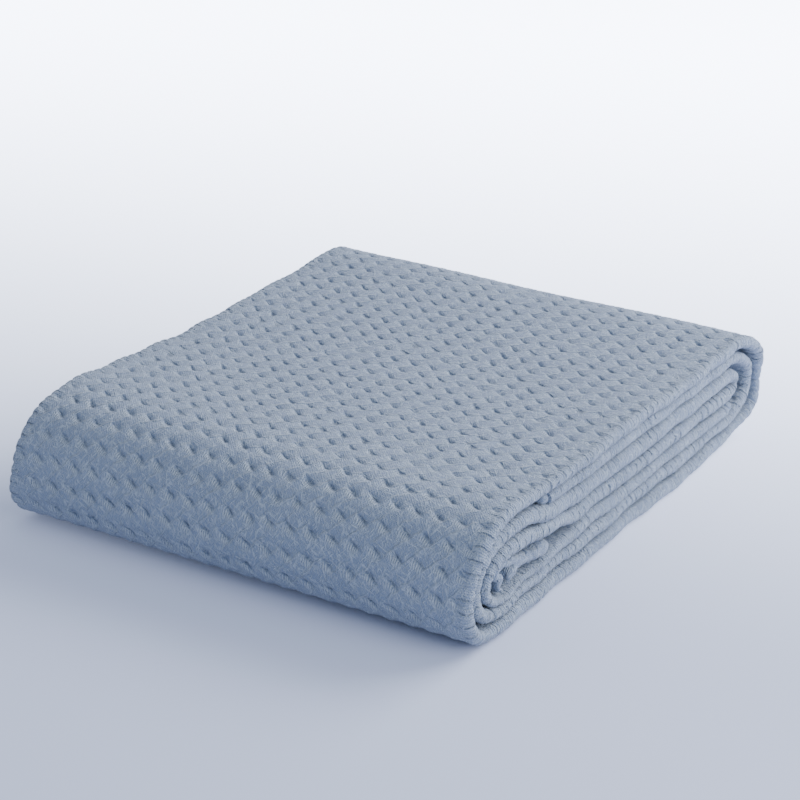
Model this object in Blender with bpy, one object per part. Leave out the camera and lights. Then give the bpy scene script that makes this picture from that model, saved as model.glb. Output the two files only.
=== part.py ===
"""Folded honeycomb throw blanket, in metres, +Z up.

The throw is folded to a strip, and the strip is rolled flat into a pack. X runs along the folds, from
one folded edge of the strip to the other. Y runs from the front fold at -Y to the back at +Y. The origin
is under the middle of the pack, on the surface that it rests on. Each leaf of the pack is one run of the
strip, and each wrap or fold is a stretch where it turns back. A strip section is flat above and below,
and half round at its two folded edges.
"""

import math

import bpy

STRIP_WIDTH = 0.320  # X, between the folded edges of the outer leaves
PACK_LENGTH = 0.370  # Y, over the front fold and the back
LEAF_THICK = 0.0098  # one leaf of the strip
GAP = 0.0003  # between two pieces that touch
EDGE_STEP = 0.003  # the inner leaves stop this far inside the outer ones
HEM_SETBACK = 0.088  # from the front fold to the free hem of the second leaf
BACK_FOLD_SETBACK = 0.037  # from the back of the pack to the fold of the third and fourth leaves
CORE_SETBACK = 0.042  # from the back of the pack to the strip's inner end
STITCH_DEPTH = 0.0005  # how far the stitching presses a hem in, on each face
THREAD_DIAMETER = 0.0012
HEM_WIDTH = 0.010  # along the strip
HEM_OPENING = 0.0055  # between the two hems that meet at the back
THREAD_INSET = 0.006  # a stitch row stops this far inside the strip's edges
ROLLED_HEM = 0.0090  # the roll of an inner hem, across

EDGE_STEPS = 6  # facets round a folded edge
ARC_STEP_DEG = 11.25  # facets round a wrap
LEAF_STATIONS = 7  # cross sections along a straight leaf

PITCH = LEAF_THICK + GAP
TOP_LEVEL = 6  # the top flap lies on six leaves
INNER_WIDTH = STRIP_WIDTH - 2 * EDGE_STEP

CLOTH_BLUE = (0.31, 0.40, 0.52)
HEM_BLUE = (0.35, 0.44, 0.56)
THREAD_BLUE = (0.42, 0.51, 0.62)


def level(number):
    """Height of the middle of a leaf, counted from the bottom leaf, which is 0."""
    return LEAF_THICK / 2 + number * PITCH


PACK_HEIGHT = level(TOP_LEVEL) + LEAF_THICK / 2
OUTER_RADIUS = (level(TOP_LEVEL) - level(0)) / 2
MIDDLE = (level(TOP_LEVEL) + level(0)) / 2
FRONT = -PACK_LENGTH / 2 + PACK_HEIGHT / 2  # where every front wrap has its centre
BACK = PACK_LENGTH / 2 - PACK_HEIGHT / 2  # where the outer back wraps have their centre
BACK_FOLD = PACK_LENGTH / 2 - BACK_FOLD_SETBACK - PITCH
HEM_TURN = math.degrees(HEM_WIDTH / OUTER_RADIUS)
OPENING_TURN = math.degrees(HEM_OPENING / OUTER_RADIUS)
JOINT_TURN = math.degrees(GAP / OUTER_RADIUS)


def clear_scene():
    for thing in list(bpy.data.objects):
        bpy.data.objects.remove(thing, do_unlink=True)


def material(name, colour, roughness):
    """A plain cloth material."""
    made = bpy.data.materials.new(name)
    made.use_nodes = True
    made.diffuse_color = (*colour, 1.0)
    shader = made.node_tree.nodes["Principled BSDF"]
    shader.inputs["Base Color"].default_value = (*colour, 1.0)
    shader.inputs["Roughness"].default_value = roughness
    shader.inputs["Metallic"].default_value = 0.0
    return made


def straight(start, end, height, stations=LEAF_STATIONS):
    """Points of a flat run from start to end along Y."""
    step = (end - start) / (stations - 1)
    return [(start + step * i, height) for i in range(stations)]


def arc(centre, radius, first_deg, last_deg):
    """Points round a centre (y, z). 0 degrees points to +Y and 90 up."""
    steps = max(2, round(abs(last_deg - first_deg) / ARC_STEP_DEG))
    turns = [math.radians(first_deg + (last_deg - first_deg) * i / steps) for i in range(steps + 1)]
    return [(centre[0] + radius * math.cos(a), centre[1] + radius * math.sin(a)) for a in turns]


def directions(path):
    """Unit vectors along the path, each from the runs before and after its point."""
    found = []
    for i in range(len(path)):
        before = path[max(i - 1, 0)]
        after = path[min(i + 1, len(path) - 1)]
        run = math.hypot(after[0] - before[0], after[1] - before[1])
        found.append(((after[0] - before[0]) / run, (after[1] - before[1]) / run))
    return found


def arc_directions(path, centre):
    """Unit vectors square to the radius, turning the way that the path runs."""
    way = (path[0][0] - centre[0]) * (path[1][1] - centre[1])
    way -= (path[0][1] - centre[1]) * (path[1][0] - centre[0])
    sign = 1.0 if way > 0 else -1.0
    found = []
    for y, z in path:
        radius = math.hypot(y - centre[0], z - centre[1])
        found.append((-sign * (z - centre[1]) / radius, sign * (y - centre[0]) / radius))
    return found


def section(width, thick):
    """Outline (x, offset) of the strip: flat faces and two half-round folded edges."""
    half, radius = width / 2 - thick / 2, thick / 2
    turns = [math.pi * i / EDGE_STEPS - math.pi / 2 for i in range(EDGE_STEPS + 1)]
    right = [(half + radius * math.cos(a), radius * math.sin(a)) for a in turns]
    left = [(-half - radius * math.cos(a), -radius * math.sin(a)) for a in turns]
    return right + left


def strip_piece(name, path, heading, width, thick, finish):
    """A closed solid: the strip's section carried along a path in the YZ plane."""
    outline = section(width, thick)
    count = len(outline)
    points = []
    for (y, z), (along_y, along_z) in zip(path, heading):
        points += [(x, y - off * along_z, z + off * along_y) for x, off in outline]
    faces = [tuple(range(count)), tuple(range(len(points) - 1, len(points) - count - 1, -1))]
    for i in range(len(path) - 1):
        for j in range(count):
            k = (j + 1) % count
            faces.append((i * count + j, (i + 1) * count + j, (i + 1) * count + k, i * count + k))
    mesh = bpy.data.meshes.new(name)
    mesh.from_pydata(points, [], faces)
    mesh.materials.append(finish)
    mesh.shade_smooth()
    mesh.set_sharp_from_angle(angle=math.radians(35))
    made = bpy.data.objects.new(name, mesh)
    bpy.context.scene.collection.objects.link(made)
    return made


def leaf(name, start, end, number, finish, width=INNER_WIDTH):
    """A straight run of the strip on one level."""
    path = straight(start, end, level(number))
    return strip_piece(name, path, directions(path), width, LEAF_THICK, finish)


def wrap(name, centre, radius, first_deg, last_deg, finish, width=INNER_WIDTH, thick=LEAF_THICK):
    """A stretch of the strip that turns round a centre."""
    path = arc(centre, radius, first_deg, last_deg)
    return strip_piece(name, path, arc_directions(path, centre), width, thick, finish)


def outer_leaf(name, start, number, last_deg, finish):
    """A flat outer leaf whose end turns round the back of the pack."""
    first_deg = 90.0 if number else -90.0
    centre = (BACK, MIDDLE)
    flat = straight(start, BACK, level(number))
    turn = arc(centre, OUTER_RADIUS, first_deg, last_deg)
    heading = [(1.0, 0.0)] * len(flat) + arc_directions(turn, centre)[1:]
    return strip_piece(name, flat + turn[1:], heading, STRIP_WIDTH, LEAF_THICK, finish)


def rod(name, y, z, radius, length, finish):
    """A round rod along X: a rolled hem or a row of stitches."""
    bpy.ops.mesh.primitive_cylinder_add(
        vertices=16, radius=radius, depth=length, location=(0, y, z), rotation=(0, math.pi / 2, 0)
    )
    made = bpy.context.object
    made.name = name
    made.data.name = name
    made.data.materials.append(finish)
    made.data.shade_smooth()
    made.data.set_sharp_from_angle(angle=math.radians(35))
    return made


def hinge_empty():
    """The crease that the top flap lifts on: along X, on the top face over the front wraps' centre."""
    crease = bpy.data.objects.new("flap_crease", None)
    crease.location = (0, FRONT, PACK_HEIGHT)
    crease.empty_display_size = STRIP_WIDTH / 2
    bpy.context.scene.collection.objects.link(crease)
    return crease


def parent_in_place(child, parent):
    child.parent = parent
    child.matrix_parent_inverse = parent.matrix_world.inverted()


def top_flap(cloth, hem, thread):
    """The outer leaf on top, with its lip down the back and the hem at its free end."""
    hem_end = OPENING_TURN / 2
    hem_start = hem_end + HEM_TURN
    flap = outer_leaf("top_flap", FRONT + GAP, TOP_LEVEL, hem_start + JOINT_TURN, cloth)
    edge = stitched_hem("flap_hem", hem_start, hem_end, hem)
    stitches = hem_stitches("flap_hem_thread", (hem_start + hem_end) / 2, thread)
    return [flap, edge, stitches]


def bottom_leaf(cloth, hem, thread):
    """The outer leaf underneath, which turns up the back to the other hem."""
    hem_end = -OPENING_TURN / 2
    hem_start = hem_end - HEM_TURN
    outer_leaf("bottom_leaf", FRONT + GAP, 0, hem_start - JOINT_TURN, cloth)
    stitched_hem("bottom_hem", hem_start, hem_end, hem)
    hem_stitches("bottom_hem_thread", (hem_start + hem_end) / 2, thread)


def stitched_hem(name, first_deg, last_deg, finish):
    thick = LEAF_THICK - 2 * STITCH_DEPTH
    return wrap(name, (BACK, MIDDLE), OUTER_RADIUS, first_deg, last_deg, finish, STRIP_WIDTH, thick)


def hem_stitches(name, turn_deg, finish):
    """A row of stitches in the hollow that they press into the outer face of a hem."""
    hem_face = OUTER_RADIUS + LEAF_THICK / 2 - STITCH_DEPTH
    out = hem_face + GAP + THREAD_DIAMETER / 2
    turn = math.radians(turn_deg)
    length = STRIP_WIDTH - 2 * THREAD_INSET
    y = BACK + out * math.cos(turn)
    z = MIDDLE + out * math.sin(turn)
    return rod(name, y, z, THREAD_DIAMETER / 2, length, finish)


def inner_leaves(cloth):
    """The runs between the wraps, from the second leaf down."""
    free_end = -PACK_LENGTH / 2 + HEM_SETBACK
    leaf("second_leaf", free_end, BACK - GAP, 5, cloth)
    leaf("third_leaf", FRONT + GAP, BACK_FOLD - GAP, 4, cloth)
    leaf("fourth_leaf", FRONT + GAP, BACK_FOLD - GAP, 3, cloth)
    leaf("core_leaf", FRONT + GAP, PACK_LENGTH / 2 - CORE_SETBACK, 2, cloth)
    leaf("lower_leaf", FRONT + GAP, BACK - GAP, 1, cloth)


def turns(cloth):
    """The wraps and folds that join the leaves, front ones first."""
    front_turn = (90.0, 270.0)
    wrap("front_wrap", (FRONT, MIDDLE), OUTER_RADIUS, *front_turn, cloth, STRIP_WIDTH)
    wrap("inner_front_wrap", (FRONT, (level(4) + level(1)) / 2), 1.5 * PITCH, *front_turn, cloth)
    wrap("core_fold", (FRONT, (level(3) + level(2)) / 2), PITCH / 2, *front_turn, cloth)
    wrap("inner_back_wrap", (BACK, MIDDLE), OUTER_RADIUS - PITCH, 90.0, -90.0, cloth)
    wrap("back_fold", (BACK_FOLD, (level(4) + level(3)) / 2), PITCH / 2, 90.0, -90.0, cloth)


def inner_hems(hem):
    """The rolled hems at the second leaf's free end and at the strip's inner end."""
    length = INNER_WIDTH
    radius = ROLLED_HEM / 2
    free_end = -PACK_LENGTH / 2 + HEM_SETBACK
    core_end = PACK_LENGTH / 2 - CORE_SETBACK
    rod("second_leaf_hem", free_end - GAP - radius, level(5), radius, length, hem)
    rod("core_hem", core_end + GAP + radius, level(2), radius, length, hem)


def build():
    clear_scene()
    cloth = material("honeycomb_cloth", CLOTH_BLUE, 0.92)
    hem = material("hem_cloth", HEM_BLUE, 0.90)
    thread = material("sewing_thread", THREAD_BLUE, 0.60)
    moving = top_flap(cloth, hem, thread)
    bottom_leaf(cloth, hem, thread)
    inner_leaves(cloth)
    turns(cloth)
    inner_hems(hem)
    crease = hinge_empty()
    bpy.context.view_layer.update()
    for piece in moving:
        parent_in_place(piece, crease)


build()
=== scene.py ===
"""Folded honeycomb throw blanket: the looks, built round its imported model.

Lengths are in metres, +Z is up, and the origin is on the floor under the middle of the pack. The throw
lies as strips of doubled cloth. A strip is folded in to its own middle from both sides, so each of its
edges along X is a fold. The strips are then rolled flat, so the ends of the pack show the folds in layers.
"""

import math
from functools import partial

import bmesh
import bpy
import numpy as np
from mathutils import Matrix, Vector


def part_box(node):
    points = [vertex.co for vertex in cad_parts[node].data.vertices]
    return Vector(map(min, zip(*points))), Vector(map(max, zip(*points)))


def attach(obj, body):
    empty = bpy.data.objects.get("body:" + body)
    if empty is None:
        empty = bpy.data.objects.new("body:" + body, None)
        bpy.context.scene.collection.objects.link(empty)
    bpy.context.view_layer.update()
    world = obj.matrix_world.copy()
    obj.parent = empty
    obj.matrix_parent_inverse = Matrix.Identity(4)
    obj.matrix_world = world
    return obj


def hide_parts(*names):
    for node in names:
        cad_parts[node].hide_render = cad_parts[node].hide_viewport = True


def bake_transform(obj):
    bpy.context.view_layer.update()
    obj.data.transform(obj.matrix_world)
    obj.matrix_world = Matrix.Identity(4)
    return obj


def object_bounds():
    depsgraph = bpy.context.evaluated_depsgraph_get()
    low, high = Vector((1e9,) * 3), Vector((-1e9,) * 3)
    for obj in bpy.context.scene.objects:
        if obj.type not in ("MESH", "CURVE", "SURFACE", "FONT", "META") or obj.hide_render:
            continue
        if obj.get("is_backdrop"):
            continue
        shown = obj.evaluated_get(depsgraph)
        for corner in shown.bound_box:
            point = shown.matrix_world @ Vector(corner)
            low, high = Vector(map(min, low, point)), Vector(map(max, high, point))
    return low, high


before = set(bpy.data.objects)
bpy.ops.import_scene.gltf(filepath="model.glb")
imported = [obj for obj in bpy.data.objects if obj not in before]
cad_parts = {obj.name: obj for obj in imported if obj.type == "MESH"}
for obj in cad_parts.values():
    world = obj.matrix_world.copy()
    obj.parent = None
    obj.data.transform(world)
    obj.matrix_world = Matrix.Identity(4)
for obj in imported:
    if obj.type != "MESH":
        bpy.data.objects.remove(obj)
CAD_LOW, CAD_HIGH = (list(corner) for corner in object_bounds())

bl_info = {
    "name": "Folded Throw Blanket",
    "version": (1, 0, 0),
    "blender": (4, 5, 0),
    "location": "View3D > Sidebar > Throw",
    "description": "Builds a folded honeycomb throw blanket, its stitched hems and a plain stage",
    "category": "Add Mesh",
}

MM = 0.001
TURN = 2 * math.pi

# The profiles below are drawn for a pack of this length and height, and are then scaled to the CAD box.
DRAWN_LENGTH, DRAWN_HEIGHT = 370.0, 70.4

# Each row is (y, z, thickness) in millimetres on the middle line of a strip, as seen on the +X end.
OUTER_PROFILE = (
    (187.0, 43.5, 8.2), (184.5, 52.0, 8.6), (176.5, 59.8, 8.8), (164.0, 65.2, 8.8), (148.0, 67.5, 8.8),
    (115.0, 67.2, 8.6), (70.0, 66.6, 8.6), (20.0, 66.4, 8.6), (-30.0, 66.8, 8.6), (-80.0, 67.5, 8.6),
    (-115.0, 67.9, 8.6), (-138.0, 68.0, 8.6), (-152.0, 66.6, 8.8), (-164.0, 63.0, 9.0), (-174.0, 56.5, 9.0),
    (-181.0, 48.5, 9.0), (-185.5, 39.5, 9.0), (-187.6, 31.0, 9.0), (-187.8, 23.0, 9.0), (-185.0, 15.5, 9.0),
    (-179.5, 9.3, 9.0), (-170.0, 5.6, 9.0), (-158.0, 4.8, 9.2), (-149.8, 4.8, 9.2),
)
LIP_HEM_PROFILE = ((186.4, 30.8, 8.2), (187.6, 38.5, 8.2), (187.0, 43.5, 8.6), (186.1, 47.0, 8.6))
BOTTOM_PROFILE = (
    (-149.8, 4.8, 9.2), (-120.0, 4.9, 9.2), (-60.0, 5.0, 9.4), (0.0, 5.0, 9.5), (60.0, 5.0, 9.5),
    (105.0, 5.3, 9.4), (135.0, 6.6, 9.2), (158.0, 9.6, 8.8), (173.0, 14.0, 8.4), (181.5, 19.5, 8.0),
)
BOTTOM_HEM_PROFILE = ((178.5, 17.2, 8.4), (181.5, 19.5, 8.4), (185.4, 24.0, 8.2), (186.8, 32.0, 8.2))
INNER_PROFILE = (
    (-98.6, 58.7, 7.0), (-90.0, 58.5, 8.0), (-70.0, 58.2, 8.6), (-30.0, 57.8, 8.8), (20.0, 57.6, 9.0),
    (70.0, 58.0, 9.0), (110.0, 58.6, 9.0), (140.0, 58.4, 8.8), (156.0, 55.8, 8.6), (168.0, 50.8, 8.8),
    (175.6, 43.8, 9.4), (177.4, 36.0, 9.6), (174.4, 28.6, 9.2), (165.0, 23.0, 8.4), (153.0, 18.8, 8.8), (135.0, 16.6, 9.2),
    (100.0, 15.6, 9.5), (50.0, 15.2, 9.7), (0.0, 15.2, 9.7), (-50.0, 15.2, 9.7), (-95.0, 14.6, 8.6),
    (-125.0, 13.6, 7.8), (-145.0, 13.6, 7.4), (-158.0, 14.4, 7.8), (-168.0, 16.4, 8.6), (-174.6, 21.4, 9.6),
    (-177.0, 28.5, 10.0), (-176.0, 37.0, 10.0), (-171.0, 45.4, 9.8), (-163.0, 51.4, 9.6), (-152.0, 54.8, 9.2),
    (-138.0, 56.2, 9.0), (-120.0, 55.0, 9.2), (-105.0, 51.8, 10.4), (-88.0, 48.8, 11.2), (-65.0, 46.6, 11.8),
    (-30.0, 46.0, 12.0), (20.0, 46.0, 12.0), (70.0, 46.6, 11.8), (110.0, 47.2, 11.4), (134.0, 47.2, 10.8),
    (146.0, 46.0, 10.0), (151.6, 43.6, 9.7), (153.2, 40.4, 9.6), (151.4, 37.2, 9.6), (146.0, 35.4, 9.7),
    (125.0, 34.7, 10.0), (80.0, 34.6, 10.1), (20.0, 34.4, 10.1), (-30.0, 34.4, 10.0), (-70.0, 36.0, 9.6),
    (-90.0, 40.2, 9.6), (-112.0, 43.0, 9.8), (-130.0, 44.6, 10.4), (-143.0, 45.2, 10.2), (-153.5, 42.4, 9.8),
    (-161.4, 36.6, 9.4), (-164.8, 29.6, 9.0), (-163.0, 23.8, 7.6), (-156.0, 20.8, 5.8), (-145.0, 20.0, 5.0),
    (-130.0, 20.4, 5.0), (-105.0, 21.4, 5.4), (-85.0, 23.2, 7.0), (-60.0, 24.6, 8.5), (0.0, 24.6, 8.6),
    (60.0, 24.8, 8.5), (110.0, 25.0, 8.3), (141.0, 25.2, 8.0),
)
PLEAT_PROFILE = (
    (-94.5, 28.6, 11.0), (-100.0, 28.2, 11.6), (-110.0, 29.0, 9.6), (-120.0, 30.2, 9.2), (-128.0, 31.8, 9.4),
    (-135.0, 30.0, 9.4), (-141.0, 27.0, 7.2),
)
TUCK_PROFILE = (
    (-131.0, 37.4, 2.6), (-141.0, 37.2, 5.0), (-149.0, 38.6, 5.4), (-155.0, 34.0, 5.6), (-149.0, 31.0, 5.4),
    (-153.0, 26.6, 4.0), (-148.0, 24.6, 2.4),
)
CURL = (-101.0, 58.8, 3.7)  # (y, z, radius) of the second leaf's rolled hem
CORE_CURL = (146.5, 25.2, 3.6)  # and of the core's
SECOND_LEAF_END = 0.150  # (y) where the fine part of the inner strip ends

PLY_GAP = 0.6 * MM  # between the two plies of a strip
WANDER = 1.5 * MM  # how far the weave's lattice strays from square
PIT_LEAN = math.radians(27)  # of a pit's long side from X, towards the end of the strip
PIT_LONG = 4.6 * MM  # from a pit's middle to where its bell has fallen to 1/e, along it
PIT_WALLS = 1.35 * MM, 1.0 * MM  # and across it, on the side of the strip's end and of its start
PIT_SHADE_LONG, PIT_SHADE_SHORT = 4.9 * MM, 0.75 * MM  # the same for the painted shade in a pit
LINE_STEP = 0.5 * MM  # between the points of a strip's middle line
FINE_STEP = 2.6 * MM  # a face cut no more coarsely than this shows the weave
PLEATS_IN = 1 * MM  # how much narrower the pleats are than the leaf over them


class ThrowCloth(bpy.types.PropertyGroup):
    """Sizes and colours of the cloth"""

    strip_width: bpy.props.FloatProperty(
        name="Strip Width",
        description="From one folded edge of the strip to the other",
        default=CAD_HIGH[0] - CAD_LOW[0],
        min=0.1,
        unit="LENGTH",
    )
    pitch_across: bpy.props.FloatProperty(
        name="Pitch Across", description="From one pit of the weave to the next along X", default=0.0139, unit="LENGTH"
    )
    pitch_along: bpy.props.FloatProperty(
        name="Pitch Along",
        description="From one pit of the weave to the next along the strip",
        default=0.0134,
        unit="LENGTH",
    )
    pit_depth: bpy.props.FloatProperty(
        name="Pit Depth", description="How far a pit of the weave goes in", default=0.0013, unit="LENGTH"
    )
    crown: bpy.props.FloatProperty(
        name="Pad Crown", description="How far the pads between the pits swell", default=0.0009, unit="LENGTH"
    )
    ridge: bpy.props.FloatProperty(
        name="Ridge", description="Height of the ridges between the rows of pits", default=0.0003, unit="LENGTH"
    )
    cloth_colour: bpy.props.FloatVectorProperty(
        name="Cloth", description="Colour of the pads", subtype="COLOR", size=3, default=(0.190, 0.243, 0.362)
    )
    # Painted shade: the pits and the creases on the folded edges are tinted with this colour where shade falls in
    # them.
    pit_shade_colour: bpy.props.FloatVectorProperty(
        name="Pits",
        description="Colour in the pits of the weave",
        subtype="COLOR",
        size=3,
        default=(0.085, 0.120, 0.190),
    )
    # Colour of the pale raised fibres and fuzz. It is also the painted highlight on the ridges and on the strands
    # beside each pit.
    fibre_and_highlight_colour: bpy.props.FloatVectorProperty(
        name="Fibres", description="Colour of raised fibres", subtype="COLOR", size=3, default=(0.46, 0.53, 0.62)
    )
    thread_colour: bpy.props.FloatVectorProperty(
        name="Thread", description="Colour of the sewing thread", subtype="COLOR", size=3, default=(0.36, 0.43, 0.52)
    )


class ThrowStage(bpy.types.PropertyGroup):
    """Light, floor and camera"""

    # Painted light: the floor is coloured darker at the front and lighter behind the throw, and its far part glows.
    floor_near: bpy.props.FloatVectorProperty(
        name="Floor, Near",
        description="Colour of the floor at the front",
        subtype="COLOR",
        size=3,
        default=(0.57, 0.612, 0.79),
    )
    floor_far: bpy.props.FloatVectorProperty(
        name="Floor, Far",
        description="Colour of the floor behind the throw",
        subtype="COLOR",
        size=3,
        default=(0.76, 0.82, 1.0),
    )
    glow: bpy.props.FloatProperty(
        name="Glow", description="How strongly the far part of the floor shines", default=9.0
    )
    key_power: bpy.props.FloatProperty(
        name="Key Power", description="Power of the large light behind the throw", default=60.0, unit="POWER"
    )
    side_power: bpy.props.FloatProperty(
        name="Side Power", description="Power of the light on the open end", default=18.0, unit="POWER"
    )
    sky: bpy.props.FloatProperty(name="Sky", description="Strength of the light from all round", default=0.84)


# ---------------------------------------------------------------- shapes


def to_box(rows):
    """Profile rows in millimetres, scaled from the drawn pack to the CAD box, in metres."""
    rows = np.array(rows, float)
    along = (CAD_HIGH[1] - CAD_LOW[1]) / DRAWN_LENGTH
    up = (CAD_HIGH[2] - CAD_LOW[2]) / DRAWN_HEIGHT
    middle = (CAD_HIGH[1] + CAD_LOW[1]) / 2
    return np.stack([rows[:, 0] * along + middle, rows[:, 1] * up + CAD_LOW[2], rows[:, 2] * up], 1)


def smooth_line(rows, step):
    """Points of a smooth curve through the rows, about step apart.

    Between two rows the curve is the cubic whose slopes at both are the mean of the runs on either side
    (a Catmull-Rom spline over the chord length), and it is then cut again at equal distances."""
    knots = np.concatenate([[0], np.cumsum(np.sqrt(np.linalg.norm(np.diff(rows[:, :2], axis=0), axis=1)))])
    slope = np.gradient(rows, knots, axis=0)
    span = np.repeat(np.arange(len(rows) - 1), 40)
    t = np.tile(np.arange(40) / 40, len(rows) - 1)[:, None]
    width = np.diff(knots)[span][:, None]
    a, b, sa, sb = rows[span], rows[span + 1], slope[span] * width, slope[span + 1] * width
    dense = (2 * t**3 - 3 * t**2 + 1) * a + (t**3 - 2 * t**2 + t) * sa
    dense = dense + (3 * t**2 - 2 * t**3) * b + (t**3 - t**2) * sb
    dense = np.vstack([dense, rows[-1]])
    far = np.concatenate([[0], np.cumsum(np.linalg.norm(np.diff(dense[:, :2], axis=0), axis=1))])
    even = np.linspace(0, far[-1], max(4, round(far[-1] / step)) + 1)
    return even, np.stack([np.interp(even, far, dense[:, k]) for k in range(3)], 1)


def waves(*places, seed, length):
    """Smooth noise, mostly within 1 of zero: a quarter of the sum of seven sines over the places, whose
    directions and phases are set by the seed."""
    draw = np.random.default_rng(seed)
    total = 0.0
    for _ in range(7):
        pull = draw.normal(size=len(places))
        pull *= TURN / length * draw.uniform(0.6, 1.5) / np.linalg.norm(pull)
        total = total + np.sin(sum(p * k for p, k in zip(places, pull)) + draw.uniform(0, TURN))
    return total / 4


def settle(points):
    """Moves points as the whole pack slumps, the same way for every piece, so that neighbours stay apart.

    Heights are scaled by a slow wave over the plan, which is lower in the middle of the -X side and higher
    at the front shoulder and at the far corner. Near the two open ends a finer wave shifts y, z and x."""
    x, y, z = points[:, 0], points[:, 1], points[:, 2]
    half = (CAD_HIGH[0] - CAD_LOW[0]) / 2
    left = np.clip((half - x) / (2 * half), 0, 1)
    along = y / (CAD_HIGH[1] - CAD_LOW[1]) * 2
    rise = left * (0.055 * np.exp(-((along - 1.0) ** 2) / 0.18) - 0.035 * np.exp(-((along + 0.12) ** 2) / 0.12))
    rise += 0.022 * np.exp(-((along + 0.72) ** 2) / 0.05) * (0.6 + 0.6 * left)
    rise += 0.012 * waves(x, y, seed=3, length=0.16)
    near_end = np.clip((np.abs(x) - half + 0.045) / 0.045, 0, 1) ** 2
    shift = 1.0 * MM * near_end
    moved = points.copy()
    moved[:, 2] = z * (1 + rise) + shift * waves(y, z, x * 0.4, seed=5, length=0.040) * np.clip(z / 0.012, 0, 1)
    moved[:, 1] = y + shift * waves(y, z, x * 0.4, seed=7, length=0.034)
    moved[:, 0] = x + np.sign(x) * near_end * 1.6 * MM * waves(y, z, seed=9, length=0.05)
    return moved


def cell(value, pitch):
    """(number of the nearest lattice line, distance from it)."""
    number = np.round(value / pitch)
    return number, value - number * pitch


def scatter(a, b):
    """A number from 0 to 1 for each pair of whole numbers, that looks random."""
    mixed = np.sin(a * 12.9898 + b * 78.233) * 43758.5453
    return mixed - np.floor(mixed)


def relief(u, v, fold, cloth):
    """How far the cloth's face stands out of the strip's smooth face, never above it.

    The weave is a nearly square lattice that strays by about WANDER. At each lattice point is a pit, a leaning
    oval bell whose wall is steeper towards the start of the strip. The face swells to a pad between four pits:
    ((2 + cos u + cos v) / 4) to the power 1.6. Low ridges run along one diagonal, between the rows of pits: a
    bell of the distance from the lines where u + v, counted in pitches, is a whole number and a half. Along a
    folded edge all this grows shallow, and the face is creased across at each half pitch."""
    u = u + WANDER * waves(u, v, seed=11, length=0.06)
    v = v + WANDER * waves(u, v, seed=13, length=0.06)
    column, across = cell(u, cloth.pitch_across)
    row, along = cell(v, cloth.pitch_along)
    chance = scatter(column, row)
    swell = ((2 + np.cos(TURN * u / cloth.pitch_across) + np.cos(TURN * v / cloth.pitch_along)) / 4) ** 1.6
    lean = PIT_LEAN + 0.35 * (chance - 0.5)
    long = across * np.cos(lean) + along * np.sin(lean)
    short = along * np.cos(lean) - across * np.sin(lean)
    wall = np.where(short > 0, *PIT_WALLS)
    pit = np.exp(-((long / PIT_LONG) ** 2) - (short / wall) ** 2)
    diagonal = u / cloth.pitch_across + v / cloth.pitch_along
    from_ridge = np.abs(diagonal - np.floor(diagonal) - 0.5) * cloth.pitch_along * math.sqrt(0.5)
    ridge = np.exp(-((from_ridge / (1.5 * MM)) ** 2))
    out = cloth.crown * swell + cloth.pit_depth * (0.65 + 0.6 * chance) * pit + cloth.ridge * (1 - ridge)
    half, off = cell(v + 0.8 * MM * waves(u, v, seed=15, length=0.02), cloth.pitch_along / 2)
    depth = 0.45 + 0.75 * scatter(half, 3.0)
    crease = np.exp(-((off / (1.1 * MM)) ** 2)) * depth
    return -(1 - 0.85 * fold) * out - fold * 0.9 * MM * crease


def face_steps(half_face, coarse, fine, margin=0.014):
    """Places from the middle of a strip's face to its folded edge: coarse at first, fine in the last margin."""
    inside = half_face - margin
    plain = np.linspace(0, inside, max(2, round(inside / coarse) + 1))
    if coarse <= fine:
        return np.linspace(0, half_face, round(half_face / coarse) + 1)
    return np.concatenate([plain, np.linspace(inside, half_face, round(margin / fine) + 1)[1:]])


class Section:
    """The strip's section as arrays over its columns: x = f * (A - T) + g * T and off = h * T, for a half
    width A and a half thickness T. u is the distance round, from the middle of the face that h = 1 names."""

    def __init__(self, half_width, half_thick, upper, lower, fine=1.5 * MM, edge=13):
        half_face = half_width - half_thick
        top = face_steps(half_face, upper, fine)
        low = face_steps(half_face, lower, fine)[::-1]
        turn = np.linspace(math.pi / 2, -math.pi / 2, edge)[1:-1]
        f = np.concatenate([top / half_face, np.ones(len(turn)), low / half_face])
        g = np.concatenate([0 * top, np.cos(turn), 0 * low])
        h = np.concatenate([0 * top + 1, np.sin(turn), 0 * low - 1])
        round_edge = math.pi * half_thick
        u = np.concatenate([top, half_face + (math.pi / 2 - turn) * half_thick, 2 * half_face + round_edge - low])
        self.around = 2 * u[-1]
        mirror = slice(-2, 0, -1)
        self.f = np.concatenate([f, -f[mirror]])
        self.g = np.concatenate([g, -g[mirror]])
        self.h = np.concatenate([h, h[mirror]])
        self.u = np.concatenate([u, -u[mirror]])
        self.share = np.concatenate([u, self.around - u[mirror]]) / self.around
        to_fold = np.abs(np.abs(self.u) - half_face - round_edge / 2)
        self.fold = np.clip((0.5 * round_edge + 6 * MM - to_fold) / (6 * MM), 0, 1)
        near = np.clip((np.abs(self.f) * half_face - half_face + 0.012) / 0.006, 0, 1)
        fine_face = np.where(self.h > 0, upper <= FINE_STEP, lower <= FINE_STEP)
        self.shown = np.maximum(near, fine_face.astype(float))


def headings(line):
    """Unit vectors (y, z) along a line of points."""
    run = np.gradient(line[:, :2], axis=0)
    return run / np.linalg.norm(run, axis=1, keepdims=True)


def carried(line, section, half_width, out=0.0, thick=None):
    """Points (rows, columns, 3) of the section carried along the line, with its face moved outwards by out."""
    way = headings(line)
    normal = np.stack([way[:, 1], -way[:, 0]], 1)
    half_thick = (line[:, 2] / 2 if thick is None else thick)[:, None]
    width = np.broadcast_to(half_width, len(line))[:, None]
    x = section.f * (width - half_thick) + section.g * (half_thick + out)
    off = section.h * (half_thick + out)
    y = line[:, :1] + normal[:, :1] * off
    z = line[:, 1:2] + normal[:, 1:] * off
    return np.stack([x, y, z], 2)


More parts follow.
